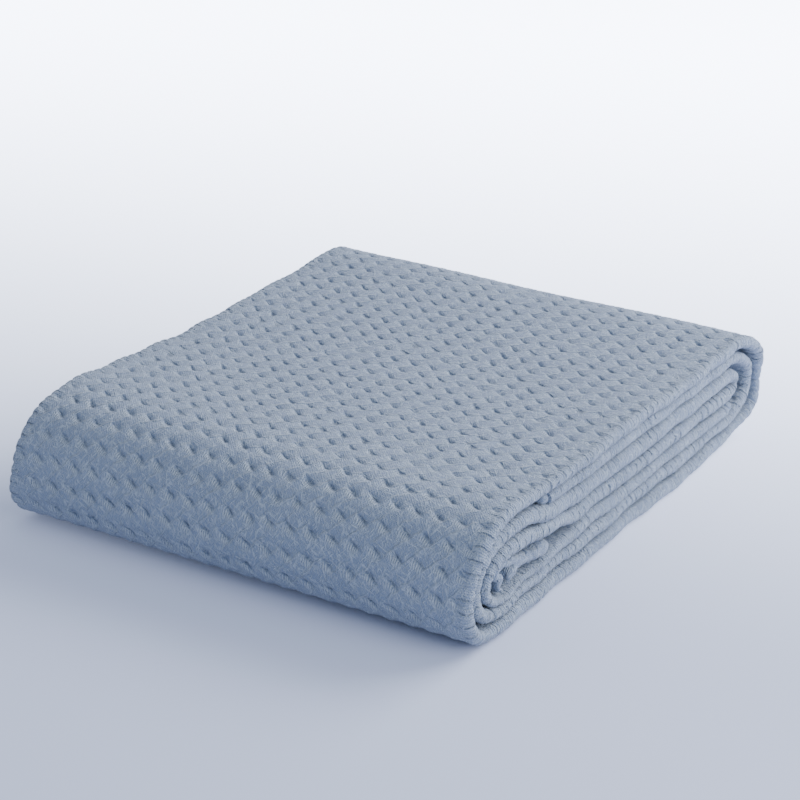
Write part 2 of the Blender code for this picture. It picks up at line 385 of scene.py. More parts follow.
def zip_loops(a, share_a, b, share_b):
    """Triangles between two closed loops of points whose shares of the way round run from 0 to 1.

    Each side of a loop is joined to the point of the other that is level with the side's middle."""
    mid_a = (share_a + np.append(share_a[1:], 1)) / 2
    mid_b = (share_b + np.append(share_b[1:], 1)) / 2
    tip_a = b[np.searchsorted(mid_b, mid_a, side="left") % len(b)]
    tip_b = a[np.searchsorted(mid_a, mid_b, side="right") % len(a)]
    return np.concatenate(
        [np.stack([a, tip_a, np.roll(a, -1)], 1), np.stack([b, np.roll(b, -1), tip_b], 1)]
    )


def loop_grid(first, rows, columns):
    """Triangles of a grid of points that closes on itself along its rows."""
    at = first + np.arange(rows * columns).reshape(rows, columns)
    a, b = at[:-1], at[1:]
    c, d = np.roll(b, -1, 1), np.roll(a, -1, 1)
    return np.concatenate([np.stack([a, b, c], 2).reshape(-1, 3), np.stack([a, c, d], 2).reshape(-1, 3)])


def mesh_piece(name, points, triangles, uv=None, around=None, sharp_deg=70, merge=0.0, fold=None):
    """A smooth-shaded object from arrays. uv is per point, and a triangle that crosses the seam is unwrapped."""
    mesh = bpy.data.meshes.new(name)
    mesh.vertices.add(len(points))
    mesh.vertices.foreach_set("co", points.astype(np.float32).ravel())
    mesh.loops.add(len(triangles) * 3)
    mesh.loops.foreach_set("vertex_index", triangles.astype(np.int32).ravel())
    mesh.polygons.add(len(triangles))
    mesh.polygons.foreach_set("loop_start", np.arange(0, len(triangles) * 3, 3, dtype=np.int32))
    mesh.polygons.foreach_set("loop_total", np.full(len(triangles), 3, np.int32))
    mesh.update(calc_edges=True)
    if uv is not None:
        corner = uv[triangles].copy()
        if around:
            high = corner[:, :, 0].max(1, keepdims=True)
            corner[:, :, 0] += np.where(high - corner[:, :, 0] > around / 2, around, 0)
        layer = mesh.uv_layers.new(name="cloth_metres")
        layer.data.foreach_set("uv", corner.astype(np.float32).ravel())
    if fold is not None:
        mesh.attributes.new("fold", "FLOAT", "POINT").data.foreach_set("value", fold.astype(np.float32))
    if merge:
        work = bmesh.new()
        work.from_mesh(mesh)
        bmesh.ops.remove_doubles(work, verts=work.verts, dist=merge)
        bmesh.ops.recalc_face_normals(work, faces=work.faces)
        work.to_mesh(mesh)
        work.free()
    mesh.shade_smooth()
    mesh.set_sharp_from_angle(angle=math.radians(sharp_deg))
    made = bpy.data.objects.new(name, mesh)
    bpy.context.scene.collection.objects.link(made)
    return made


def strip_piece(name, rows, cuts, cloth, width, start=0.0, ply_step=8 * MM, wander=0.6 * MM):
    """A doubled strip of cloth along a profile: a flattened tube, open inside, as one closed surface.

    cuts holds (end along the line, row step, upper step, lower step) for each stretch of the outer face.
    Loops of points run over the outer face from end to end, and back through the narrow space inside."""
    length, line = smooth_line(rows, LINE_STEP)
    half_thick = float(rows[:, 2].mean()) / 2
    points, triangles, uvs = [], [], []
    count, last, begin = 0, None, 0.0
    for end, row_step, upper, lower in cuts:
        end = min(end, length[-1])
        section = Section(width / 2, half_thick, upper, lower)
        places = np.linspace(begin, end, max(2, round((end - begin) / row_step) + 1))
        if last is not None:
            places = places[1:]
        here = np.stack([np.interp(places, length, line[:, k]) for k in range(3)], 1)
        u, v = np.meshgrid(section.u, places + start)
        out = relief(u, v, section.fold, cloth) * section.shown
        half_width = width / 2 + wander * waves(places, seed=21 + len(name), length=0.12)
        points.append(carried(here, section, half_width, out).reshape(-1, 3))
        uvs.append(np.stack([u, v, np.broadcast_to(section.fold, u.shape)], 2).reshape(-1, 3))
        columns = len(section.u)
        at = count + np.arange(columns)
        if last is None:
            first = (at, section.share)
        else:
            triangles.append(zip_loops(*last, at, section.share))
        triangles.append(loop_grid(count, len(places), columns))
        count += len(places) * columns
        last = (count - columns + np.arange(columns), section.share)
        begin = end
    inside = Section(width / 2, half_thick, 0.020, 0.020, fine=0.02, edge=5)
    columns = len(inside.u)
    places = np.linspace(begin, 0, max(2, round(begin / ply_step) + 1))
    here = np.stack([np.interp(places, length, line[:, k]) for k in range(3)], 1)
    half_gap = np.full(len(places), PLY_GAP / 2)
    grid = carried(here, inside, width / 2 - half_thick + PLY_GAP, thick=half_gap)
    # These rows run backwards, which swaps the two faces, so each column takes the place of the one across.
    points.append(grid[:, swap_columns(inside)].reshape(-1, 3))
    u, v = np.meshgrid(inside.u, places + start)
    uvs.append(np.stack([u, v, 0 * u], 2).reshape(-1, 3))
    head = count + np.arange(columns)
    tail = head + (len(places) - 1) * columns
    triangles.append(zip_loops(*last, head, inside.share))
    triangles.append(loop_grid(count, len(places), columns))
    triangles.append(zip_loops(tail, inside.share, *first))
    around = 2 * (width - rows[:, 2].mean()) + math.pi * rows[:, 2].mean()
    points, uvs = settle(np.concatenate(points)), np.concatenate(uvs)
    return mesh_piece(name, points, np.concatenate(triangles), uvs[:, :2], around=around, fold=uvs[:, 2])


def swap_columns(section):
    """For each column, the column on the other face at the same x."""
    wanted = np.stack([section.f, section.g, -section.h], 1)
    have = np.stack([section.f, section.g, section.h], 1)
    return np.array([np.abs(have - w).sum(1).argmin() for w in wanted])


def finish(piece, material_made, replaced=()):
    """Gives a piece its material and slot, and hides the CAD nodes that it stands for."""
    piece.data.materials.append(material_made)
    if replaced:
        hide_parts(*replaced)


def closed_band(rows, width, end_round, roughness, groove_depth=0.0, seed=31, step=0.4 * MM, face_step=2.4 * MM):
    """Arrays (points, triangles, uv) of a band of cloth with rounded free edges, closed all round.

    The strip's section runs along the rows, and its thickness falls to nothing at both ends as a quarter
    circle of radius end_round does. The caller merges each end to a line. A groove is a bell across the
    middle, and roughness scales smooth noise on the face."""
    length, line = smooth_line(rows, step)
    half = line[:, 2] / 2
    to_end = np.minimum(length, length[-1] - length)
    shape = np.sqrt(np.clip(1 - (1 - np.clip(to_end / end_round, 0, 1)) ** 2, 0, 1))
    section = Section(width / 2, float(half.mean()), face_step, face_step)
    u, v = np.meshgrid(section.u, length)
    out = -roughness * (1 + waves(u, v, seed=seed, length=0.008)) * shape[:, None]
    groove = np.exp(-(((length - length.mean()) / (1.1 * MM)) ** 2) * shape)
    out -= groove[:, None] * groove_depth * shape[:, None]
    grid = carried(line, section, width / 2 - half * (1 - shape) * 0.8, out, thick=half * shape)
    uv = np.stack([u, v], 2).reshape(-1, 2)
    return grid.reshape(-1, 3), loop_grid(0, len(length), len(section.u)), uv, section.around


def hem_band(name, rows, width):
    """A turned hem: a flat band with a groove where its stitches pull it in."""
    points, triangles, uv, around = closed_band(rows, width, 2.4 * MM, 0.12 * MM, groove_depth=0.45 * MM)
    return mesh_piece(name, settle(points), triangles, uv, around=around, merge=1e-5)


def pleats(name, profiles, width):
    """The pleats that the cloth makes inside its innermost turn, as soft crumpled bands."""
    points, triangles, uvs, count = [], [], [], 0
    for seed, rows in enumerate(profiles):
        made, faces, uv, around = closed_band(
            to_box(rows), width, 4.5 * MM, 0.5 * MM, seed=51 + seed, step=0.8 * MM, face_step=20 * MM
        )
        made[:, 1] += 0.8 * MM * waves(made[:, 0], made[:, 2], seed=61 + seed, length=0.012)
        points.append(made)
        triangles.append(faces + count)
        uvs.append(uv)
        count += len(made)
    points = settle(np.concatenate(points))
    return mesh_piece(name, points, np.concatenate(triangles), np.concatenate(uvs), around=around, merge=1e-5)


def rolled_hem(name, curl, width):
    """A rolled hem along X: a rod whose outline is a scroll with a step, and whose ends are rounded off.

    The radius at an angle is the roll's radius less a share of the turn left, and a fine twill of shallow
    ridges winds round it."""
    y, z, radius = to_box([curl])[0]
    x = np.linspace(-width / 2, width / 2, 181)
    angle = np.linspace(0, TURN, 33)[:-1]
    a, along = np.meshgrid(angle, x)
    end = np.sqrt(np.clip(1 - (np.clip(np.abs(along) - width / 2 + radius, 0, None) / radius) ** 2, 0, 1))
    turned = (a - math.radians(215)) % TURN / TURN
    size = radius * (1 - 0.20 * (1 - turned) ** 3) * end
    size += end * 0.10 * MM * np.sin(along / (1.3 * MM) * TURN + a * 2)
    size += end * 0.25 * MM * waves(along, a * 0.004, seed=41, length=0.03)
    points = np.stack([along, y + size * np.cos(a) * 1.12, z + size * np.sin(a) * 0.94], 2)
    uv = np.stack([along, a * radius], 2)
    points, uv = settle(points.reshape(-1, 3)), uv.reshape(-1, 2)
    return mesh_piece(name, points, loop_grid(0, len(x), len(angle)), uv, merge=1e-5)


def stitches(name, rows, width, spacing=3.6 * MM, long=3.0 * MM, radius=0.32 * MM):
    """A row of lock stitches on the outer face of a hem, in the groove along its middle.

    Each is a short tube along X whose middle line is a low sine arch, and whose radius falls off at its
    ends as a half circle does."""
    length, line = smooth_line(rows, 0.4 * MM)
    mid = len(line) // 2
    way = headings(line)[mid]
    normal = np.array([way[1], -way[0]])
    centres = np.arange(-width / 2 + 8 * MM, width / 2 - 8 * MM, spacing)
    share = np.linspace(0, 1, 7)
    round_it = np.linspace(0, TURN, 7)[:-1]
    x = centres[:, None, None] + (share[None, :, None] - 0.5) * long
    arch = 0.30 * MM * np.sin(share * math.pi)
    thick = radius * np.sqrt(np.clip(1 - (2 * share - 1) ** 4, 0.02, 1))
    lift = line[mid, 2] / 2 - 0.55 * MM + arch[None, :, None] + thick[None, :, None] * np.sin(round_it)
    side = thick[None, :, None] * np.cos(round_it) + 0.12 * MM * np.sin(centres[:, None, None] * 900)
    lift, side, x = np.broadcast_arrays(lift, side, x)
    points = np.stack(
        [x, line[mid, 0] + normal[0] * lift + way[0] * side, line[mid, 1] + normal[1] * lift + way[1] * side], 3
    )
    per = len(share) * len(round_it)
    one = loop_grid(0, len(share), len(round_it))
    ends = [[0, k + 1, k] for k in range(1, 5)] + [[per - 6, per - 6 + k, per - 6 + k + 1] for k in range(1, 5)]
    one = np.concatenate([one, np.array(ends)])
    many = (one[None] + (np.arange(len(centres)) * per)[:, None, None]).reshape(-1, 3)
    uv = np.stack([x, side], 3).reshape(-1, 2)
    return mesh_piece(name, settle(points.reshape(-1, 3)), many, uv, sharp_deg=80, merge=1e-7)


# ---------------------------------------------------------------- materials


def math_node(tree, operation, *values):
    node = tree.nodes.new("ShaderNodeMath")
    node.operation = operation
    for socket, value in zip(node.inputs, values):
        if isinstance(value, (int, float)):
            socket.default_value = value
        else:
            tree.links.new(value, socket)
    return node.outputs[0]


def group_sockets(group, inputs, outputs):
    for name, kind, default in inputs:
        socket = group.interface.new_socket(name, in_out="INPUT", socket_type=kind)
        if default is not None:
            socket.default_value = default
    for name, kind in outputs:
        group.interface.new_socket(name, in_out="OUTPUT", socket_type=kind)
    return group.nodes.new("NodeGroupInput").outputs, group.nodes.new("NodeGroupOutput").inputs


def noise(tree, place, scale, detail=2.0, distortion=0.0):
    node = tree.nodes.new("ShaderNodeTexNoise")
    for name, value in (("Scale", scale), ("Detail", detail), ("Distortion", distortion)):
        node.inputs[name].default_value = value
    tree.links.new(place, node.inputs["Vector"])
    return node.outputs[0]


def axes(tree, vector):
    """The outputs X, Y and Z of a vector."""
    node = tree.nodes.new("ShaderNodeSeparateXYZ")
    tree.links.new(vector, node.inputs[0])
    return node.outputs


def ramp(tree, value, low, high, kind="LINEAR"):
    """0 where the value is low, 1 where it is high, and between them in between."""
    node = tree.nodes.new("ShaderNodeMapRange")
    node.interpolation_type = kind
    node.inputs["From Min"].default_value = low
    node.inputs["From Max"].default_value = high
    tree.links.new(value, node.inputs["Value"])
    return node.outputs[0]


def bump(tree, height, strength, distance):
    node = tree.nodes.new("ShaderNodeBump")
    node.inputs["Strength"].default_value = strength
    node.inputs["Distance"].default_value = distance
    tree.links.new(height, node.inputs["Height"])
    tree.links.new(node.outputs[0], tree.nodes["Principled BSDF"].inputs["Normal"])


def new_material(name):
    """(material, its node tree, its shader)."""
    made = bpy.data.materials.new(name)
    made.use_nodes = True
    return made, made.node_tree, made.node_tree.nodes["Principled BSDF"]


def bell(tree, distance, size):
    """exp(-(distance / size)^2)"""
    ratio = math_node(tree, "DIVIDE", distance, size)
    square = math_node(tree, "MULTIPLY", ratio, ratio)
    return math_node(tree, "EXPONENT", math_node(tree, "MULTIPLY", square, -1.0))


def honeycomb_group():
    """Honeycomb: from a place on the cloth in metres, masks of the pits, of the ridges between their rows, and
    of the loose thread strands beside each pit. The material uses the first to paint shade into the pits. It uses
    the others to paint highlight onto the ridges and onto the strands on the lit side of each pit.

    The lattice is relief()'s without its stray, so a pit's painted shade may lie a little beside the pit, and the
    painted shade is longer and narrower than the pit. Ridges lie where u + v, counted in pitches, has the fraction
    0.72: a half, and half of the 0.44 that the noise adds to the sum."""
    group = bpy.data.node_groups.new("Honeycomb", "ShaderNodeTree")
    inside, outside = group_sockets(
        group,
        [
            ("Place", "NodeSocketVector", None),
            ("Pitch Across", "NodeSocketFloat", 0.0139),
            ("Pitch Along", "NodeSocketFloat", 0.0134),
        ],
        [("Pit", "NodeSocketFloat"), ("Ridge", "NodeSocketFloat"), ("Threads And Highlight", "NodeSocketFloat")],
    )
    m = partial(math_node, group)
    stray = noise(group, inside["Place"], 150.0, 1.0)
    apart = axes(group, inside["Place"])
    shares, offsets = [], []
    for axis, pitch in (("X", "Pitch Across"), ("Y", "Pitch Along")):
        share = m("DIVIDE", apart[axis], inside[pitch])
        shares.append(share)
        offsets.append(m("MULTIPLY", m("SUBTRACT", share, m("ROUND", share)), inside[pitch]))
    c, s = math.cos(PIT_LEAN), math.sin(PIT_LEAN)
    across, along = offsets
    long = m("ADD", m("MULTIPLY", across, c), m("MULTIPLY", along, s))
    short = m("SUBTRACT", m("MULTIPLY", along, c), m("MULTIPLY", across, s))
    short = m("ADD", short, m("MULTIPLY", m("SUBTRACT", stray, 0.5), 2.4 * MM))
    pit = m("MULTIPLY", bell(group, long, PIT_SHADE_LONG), bell(group, short, PIT_SHADE_SHORT))
    diagonal = m("ADD", m("ADD", *shares), m("MULTIPLY", stray, 0.44))
    from_ridge = m("ABSOLUTE", m("SUBTRACT", m("FRACT", diagonal), 0.72))
    part = m("MULTIPLY", m("SUBTRACT", noise(group, inside["Place"], 95.0), 0.38), 6.0)
    part = m("MINIMUM", m("MAXIMUM", part, 0.0), 1.0)
    ridge = m("MULTIPLY", bell(group, from_ridge, 0.075), part)
    # The strands lie on the lit side of each pit. They are partly real hatching and partly painted highlight on the
    # pit's near wall.
    beside = bell(group, m("SUBTRACT", short, 2.6 * MM), 1.6 * MM)
    beside = m("MULTIPLY", bell(group, long, PIT_LONG), beside)
    turn = m("MULTIPLY", apart["X"], TURN / (1.5 * MM))
    strand = m("SINE", m("ADD", turn, m("MULTIPLY", stray, 9.0)))
    threads_and_highlight = m("MULTIPLY", beside, m("MULTIPLY", m("ADD", strand, 1.0), 0.5))
    for name, value in (("Pit", pit), ("Ridge", ridge), ("Threads And Highlight", threads_and_highlight)):
        group.links.new(value, outside[name])


def yarn_group():
    """Yarn: from a place on the cloth in metres, the height of fine plain-woven yarn, fuzz, and slow clouds."""
    group = bpy.data.node_groups.new("Yarn", "ShaderNodeTree")
    inside, outside = group_sockets(
        group,
        [("Place", "NodeSocketVector", None), ("Yarns per Metre", "NodeSocketFloat", 1150.0)],
        [("Height", "NodeSocketFloat"), ("Fuzz", "NodeSocketFloat"), ("Cloud", "NodeSocketFloat")],
    )
    m = partial(math_node, group)
    apart = axes(group, inside["Place"])
    bent = m("MULTIPLY", noise(group, inside["Place"], 260.0), 3.0)
    sides = []
    for axis in ("X", "Y"):
        turn = m("MULTIPLY", apart[axis], inside["Yarns per Metre"])
        sides.append(m("SINE", m("ADD", m("MULTIPLY", turn, math.pi), bent)))
    fuzz = None
    for angle in (62, 118, 20):
        stretch = group.nodes.new("ShaderNodeMapping")
        stretch.vector_type = "TEXTURE"
        stretch.inputs["Rotation"].default_value = (0, 0, math.radians(angle))
        stretch.inputs["Scale"].default_value = (5.0 * MM, 1.1 * MM, 1.0)
        group.links.new(inside["Place"], stretch.inputs["Vector"])
        lifted = ramp(group, noise(group, stretch.outputs[0], 1.0, 1.0, 0.8), 0.54, 0.70)
        fuzz = lifted if fuzz is None else m("MAXIMUM", fuzz, lifted)
    group.links.new(m("MULTIPLY", *sides), outside["Height"])
    group.links.new(fuzz, outside["Fuzz"])
    group.links.new(noise(group, inside["Place"], 42.0, 4.0), outside["Cloud"])


def fold_group():
    """Fold Lines: along a folded edge, where the fold mask is 1, fine strands and creases that cross the edge."""
    group = bpy.data.node_groups.new("Fold Lines", "ShaderNodeTree")
    inside, outside = group_sockets(
        group,
        [("Place", "NodeSocketVector", None), ("Fold", "NodeSocketFloat", 0.0)],
        [("Strands", "NodeSocketFloat"), ("Creases", "NodeSocketFloat")],
    )
    m = partial(math_node, group)
    stray = noise(group, inside["Place"], 240.0)
    along = axes(group, inside["Place"])["Y"]
    turn = m("MULTIPLY", along, TURN / (1.35 * MM))
    strand = m("SINE", m("ADD", turn, m("MULTIPLY", stray, 10.0)))
    half = m("ADD", m("DIVIDE", along, 6.7 * MM), m("MULTIPLY", stray, 0.7))
    off = m("SUBTRACT", half, m("ROUND", half))
    crease = m("MULTIPLY", bell(group, off, 0.085), m("GREATER_THAN", stray, 0.44))
    group.links.new(m("MULTIPLY", strand, inside["Fold"]), outside["Strands"])
    group.links.new(m("MULTIPLY", crease, inside["Fold"]), outside["Creases"])


def placed(tree, group_name, place):
    node = tree.nodes.new("ShaderNodeGroup")
    node.node_tree = bpy.data.node_groups[group_name]
    tree.links.new(place, node.inputs["Place"])
    return node


def mixed(tree, share, a, b):
    """The colour a, changed to b by the share."""
    node = tree.nodes.new("ShaderNodeMix")
    node.data_type = "RGBA"
    for socket, value in zip((node.inputs[0], node.inputs[6], node.inputs[7]), (share, a, b)):
        if isinstance(value, (int, float)):
            socket.default_value = value
        elif isinstance(value, (tuple, list)):
            socket.default_value = (*value, 1.0)
        else:
            tree.links.new(value, socket)
    return node.outputs[2]


def cloth_material(name, cloth, honeycomb=True, lighter=1.0, yarns=1150.0):
    """A fabric: painted shade in the pits and the fold creases, painted highlight on the ridges and on the thread
    strands beside each pit, with fine yarn and fuzz over all.
    """
    made, tree, shader = new_material(name)
    m = partial(math_node, tree)
    place = tree.nodes.new("ShaderNodeUVMap")
    place.uv_map = "cloth_metres"
    yarn = placed(tree, "Yarn", place.outputs[0])
    yarn.inputs["Yarns per Metre"].default_value = yarns
    pad = tuple(c * lighter for c in cloth.cloth_colour)
    shadow = tuple(c * 0.80 for c in pad)
    pale = tuple(cloth.fibre_and_highlight_colour)
    colour = mixed(tree, yarn.outputs["Cloud"], pad, shadow)
    weave = m("ADD", m("MULTIPLY", yarn.outputs["Height"], 0.5), 0.5)
    colour = mixed(tree, m("MULTIPLY", weave, 0.14), colour, pale)
    height = m("MULTIPLY", yarn.outputs["Height"], 0.14)
    if honeycomb:
        comb = placed(tree, "Honeycomb", place.outputs[0])
        comb.inputs["Pitch Across"].default_value = cloth.pitch_across
        comb.inputs["Pitch Along"].default_value = cloth.pitch_along
        fold = tree.nodes.new("ShaderNodeAttribute")
        fold.attribute_name = "fold"
        lines = placed(tree, "Fold Lines", place.outputs[0])
        tree.links.new(fold.outputs["Fac"], lines.inputs["Fold"])
        flat = m("SUBTRACT", 1.0, m("MULTIPLY", fold.outputs["Fac"], 0.92))
        pit, ridge, threads_and_highlight = (m("MULTIPLY", comb.outputs[k], flat) for k in ("Pit", "Ridge", "Threads And Highlight"))
        # Painted shade: the pits are darkened towards the pit shade colour, standing in for the shade in them.
        colour = mixed(tree, m("MULTIPLY", pit, 0.92), colour, tuple(cloth.pit_shade_colour))
        # Painted highlight: the ridges between the rows of pits are made paler, where grazing light catches them.
        colour = mixed(tree, m("MULTIPLY", ridge, 0.22), colour, pale)
        # Painted highlight: the strands beside each pit turn pale on the side where the pit's wall catches the light.
        colour = mixed(tree, m("MULTIPLY", threads_and_highlight, 0.90), colour, pale)
        # Painted shade: the creases across the folded edges are darkened with the pit shade colour. The crease is also
        # a real bump.
        colour = mixed(tree, m("MULTIPLY", lines.outputs["Creases"], 0.90), colour, tuple(cloth.pit_shade_colour))
        colour = mixed(tree, m("MULTIPLY", m("MAXIMUM", lines.outputs["Strands"], 0.0), 0.30), colour, pale)
        for value, size in (
            (pit, -1.0),
            (ridge, 1.10),
            (threads_and_highlight, 0.90),
            (lines.outputs["Creases"], -1.5),
            (lines.outputs["Strands"], 0.20),
        ):
            height = m("ADD", height, m("MULTIPLY", value, size))
    colour = mixed(tree, m("MULTIPLY", yarn.outputs["Fuzz"], 0.48), colour, pale)
    height = m("ADD", height, m("MULTIPLY", yarn.outputs["Fuzz"], 0.45))
    tree.links.new(colour, shader.inputs["Base Color"])
    bump(tree, height, 0.9, MM)
    tree.links.new(m("ADD", m("MULTIPLY", yarn.outputs["Cloud"], 0.10), 0.84), shader.inputs["Roughness"])
    shader.inputs["Sheen Weight"].default_value = 0.22
    shader.inputs["Sheen Roughness"].default_value = 0.55
    shader.inputs["Specular IOR Level"].default_value = 0.12
    return made


def thread_material(cloth):
    """Twisted sewing thread: pale stripes wind round it."""
    made, tree, shader = new_material("sewing_thread")
    place = tree.nodes.new("ShaderNodeTexCoord")
    twist = tree.nodes.new("ShaderNodeTexWave")
    twist.bands_direction = "DIAGONAL"
    twist.inputs["Scale"].default_value = 900.0
    twist.inputs["Distortion"].default_value = 1.5
    tree.links.new(place.outputs["Object"], twist.inputs["Vector"])
    dark = tuple(c * 0.72 for c in cloth.thread_colour)
    tree.links.new(mixed(tree, twist.outputs["Fac"], dark, tuple(cloth.thread_colour)), shader.inputs["Base Color"])
    bump(tree, twist.outputs["Fac"], 0.6, 0.08 * MM)
    shader.inputs["Roughness"].default_value = 0.6
    shader.inputs["Sheen Weight"].default_value = 0.2
    return made


def material(name):
    """The named finish, made the first time that a piece asks for it."""
    cloth = bpy.context.scene.throw_cloth
    if not bpy.data.node_groups.get("Yarn"):
        honeycomb_group()
        yarn_group()
        fold_group()
    found = bpy.data.materials.get("throw_" + name)
    if found:
        return found
    if name == "thread":
        made = thread_material(cloth)
    elif name == "hem":
        made = cloth_material("hem", cloth, honeycomb=False, lighter=1.04, yarns=1500.0)
    else:
        made = cloth_material("honeycomb", cloth)
    made.name = "throw_" + name
    return made


# ---------------------------------------------------------------- operators


def node_width(node):
    """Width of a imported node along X, about whose middle it is even."""
    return 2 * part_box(node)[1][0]


class THROW_OT_outer_wrap(bpy.types.Operator):
    """Makes the lip, the top and the front of the throw as one sheet that bends over the front crease"""

    bl_idname = "throw.outer_wrap"
    bl_label = "Outer Wrap"

    def execute(self, context):
        cloth = context.scene.throw_cloth
        rows = to_box(OUTER_PROFILE)
        made = strip_piece("outer_wrap", rows, [(1.0, 1.45 * MM, 1.45 * MM, 6 * MM)], cloth, cloth.strip_width)
        finish(made, material("honeycomb"), ("top_flap", "front_wrap"))
        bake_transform(made)
        return {"FINISHED"}


class THROW_OT_bottom_leaf(bpy.types.Operator):
    """Makes the leaf that the throw lies on, with its turn up the back"""

    bl_idname = "throw.bottom_leaf"
    bl_label = "Bottom Leaf"

    def execute(self, context):
        cloth = context.scene.throw_cloth
        start = float(smooth_line(to_box(OUTER_PROFILE), LINE_STEP)[0][-1])
        rows = to_box(BOTTOM_PROFILE)
        cuts = [(1.0, 1.6 * MM, 0.012, 0.012)]
        made = strip_piece("bottom_leaf_cloth", rows, cuts, cloth, cloth.strip_width, start)
        finish(made, material("honeycomb"), ("bottom_leaf",))
        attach(made, "pack")
        return {"FINISHED"}


class THROW_OT_inner_strip(bpy.types.Operator):
    """Makes the long inner strip, from the second leaf's hem round and round to the core"""

    bl_idname = "throw.inner_strip"
    bl_label = "Inner Strip"

    def execute(self, context):
        cloth = context.scene.throw_cloth
        rows = to_box(INNER_PROFILE)
        length, line = smooth_line(rows, LINE_STEP)
        leaf_end = float(length[np.argmax(line[:, 0] > SECOND_LEAF_END)])
        low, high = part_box("second_leaf")
        cuts = [(leaf_end, 1.8 * MM, 0.012, 2.3 * MM), (9.0, 2.0 * MM, 0.024, 0.024)]
        made = strip_piece("inner_strip", rows, cuts, cloth, high[0] - low[0] + 2 * MM)
        inner_nodes = (
            "second_leaf", "inner_back_wrap", "lower_leaf", "inner_front_wrap", "third_leaf",
            "back_fold", "fourth_leaf", "core_fold", "core_leaf",
        )
        finish(made, material("honeycomb"), inner_nodes)
        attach(made, "pack")
        return {"FINISHED"}


class THROW_OT_pleats(bpy.types.Operator):
    """Makes the crumpled pleats inside the innermost front turn"""

    bl_idname = "throw.pleats"
    bl_label = "Core Pleats"

    def execute(self, context):
        width = node_width("fourth_leaf") - PLEATS_IN
        made = pleats("core_pleats", (PLEAT_PROFILE, TUCK_PROFILE), width)
        finish(made, material("honeycomb"))
        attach(made, "pack")
        return {"FINISHED"}


class THROW_OT_hems(bpy.types.Operator):
    """Makes the two turned hems at the back and the two rolled hems inside"""

    bl_idname = "throw.hems"
    bl_label = "Hems"

    def execute(self, context):
        cloth = context.scene.throw_cloth
        inner = node_width("second_leaf")
        for name, rows, node, body in (
            ("flap_hem_band", LIP_HEM_PROFILE, "flap_hem", "flap"),
            ("bottom_hem_band", BOTTOM_HEM_PROFILE, "bottom_hem", "pack"),
        ):
            made = hem_band(name, to_box(rows), cloth.strip_width + 0.4 * MM)
            finish(made, material("hem"), (node,))
            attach(made, body)
        for name, curl, node in (
            ("second_leaf_roll", CURL, "second_leaf_hem"),
            ("core_roll", CORE_CURL, "core_hem"),
        ):
            made = rolled_hem(name, curl, inner)
            finish(made, material("hem"), (node,))
            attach(made, "pack")
        return {"FINISHED"}


class THROW_OT_stitches(bpy.types.Operator):
    """Makes the rows of stitches on the two turned hems"""

    bl_idname = "throw.stitches"
    bl_label = "Stitches"

    def execute(self, context):
        width = context.scene.throw_cloth.strip_width
        for name, rows, node, body in (
            ("flap_hem_stitches", LIP_HEM_PROFILE, "flap_hem_thread", "flap"),
            ("bottom_hem_stitches", BOTTOM_HEM_PROFILE, "bottom_hem_thread", "pack"),
        ):
            made = stitches(name, to_box(rows), width)
            finish(made, material("thread"), (node,))
            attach(made, body)
        return {"FINISHED"}


class THROW_OT_flat_sizes(bpy.types.Operator):
    """Gathers each sheet of cloth with its flat width, its profiles, the piece that it lies on, and the hems and
    stitches on it
    """

    bl_idname = "throw.flat_sizes"
    bl_label = "Flat Sizes"

    def execute(self, context):
        outer = context.scene.throw_cloth.strip_width
        inner = node_width("second_leaf")
        core = node_width("fourth_leaf") - PLEATS_IN
        sheets = (
            ("outer_wrap", 2 * outer, (OUTER_PROFILE,), "inner_strip", ("flap_hem_band", "flap_hem_stitches")),
            ("bottom_leaf_cloth", 2 * outer, (BOTTOM_PROFILE,), "floor", ("bottom_hem_band", "bottom_hem_stitches")),
            ("inner_strip", 2 * inner, (INNER_PROFILE,), "bottom_leaf_cloth", ("second_leaf_roll", "core_roll")),
            ("core_pleats", core, (PLEAT_PROFILE, TUCK_PROFILE), "inner_strip", ()),
        )
        for name, width, profiles, below, on_it in sheets:
            on_it = [bpy.data.objects[piece] for piece in on_it]
        return {"FINISHED"}


def area_light(name, place, target, size, power, colour=(1, 1, 1)):
    data = bpy.data.lights.new(name, "AREA")
    data.shape = "RECTANGLE"
    data.size, data.size_y = size
    data.energy = power
    data.color = colour
    made = bpy.data.objects.new(name, data)
    bpy.context.scene.collection.objects.link(made)
    away = np.array(place, float) - np.array(target, float)
    made.location = place
    made.rotation_euler = (
        math.acos(away[2] / np.linalg.norm(away)),
        0,
        math.atan2(away[1], away[0]) + math.pi / 2,
    )


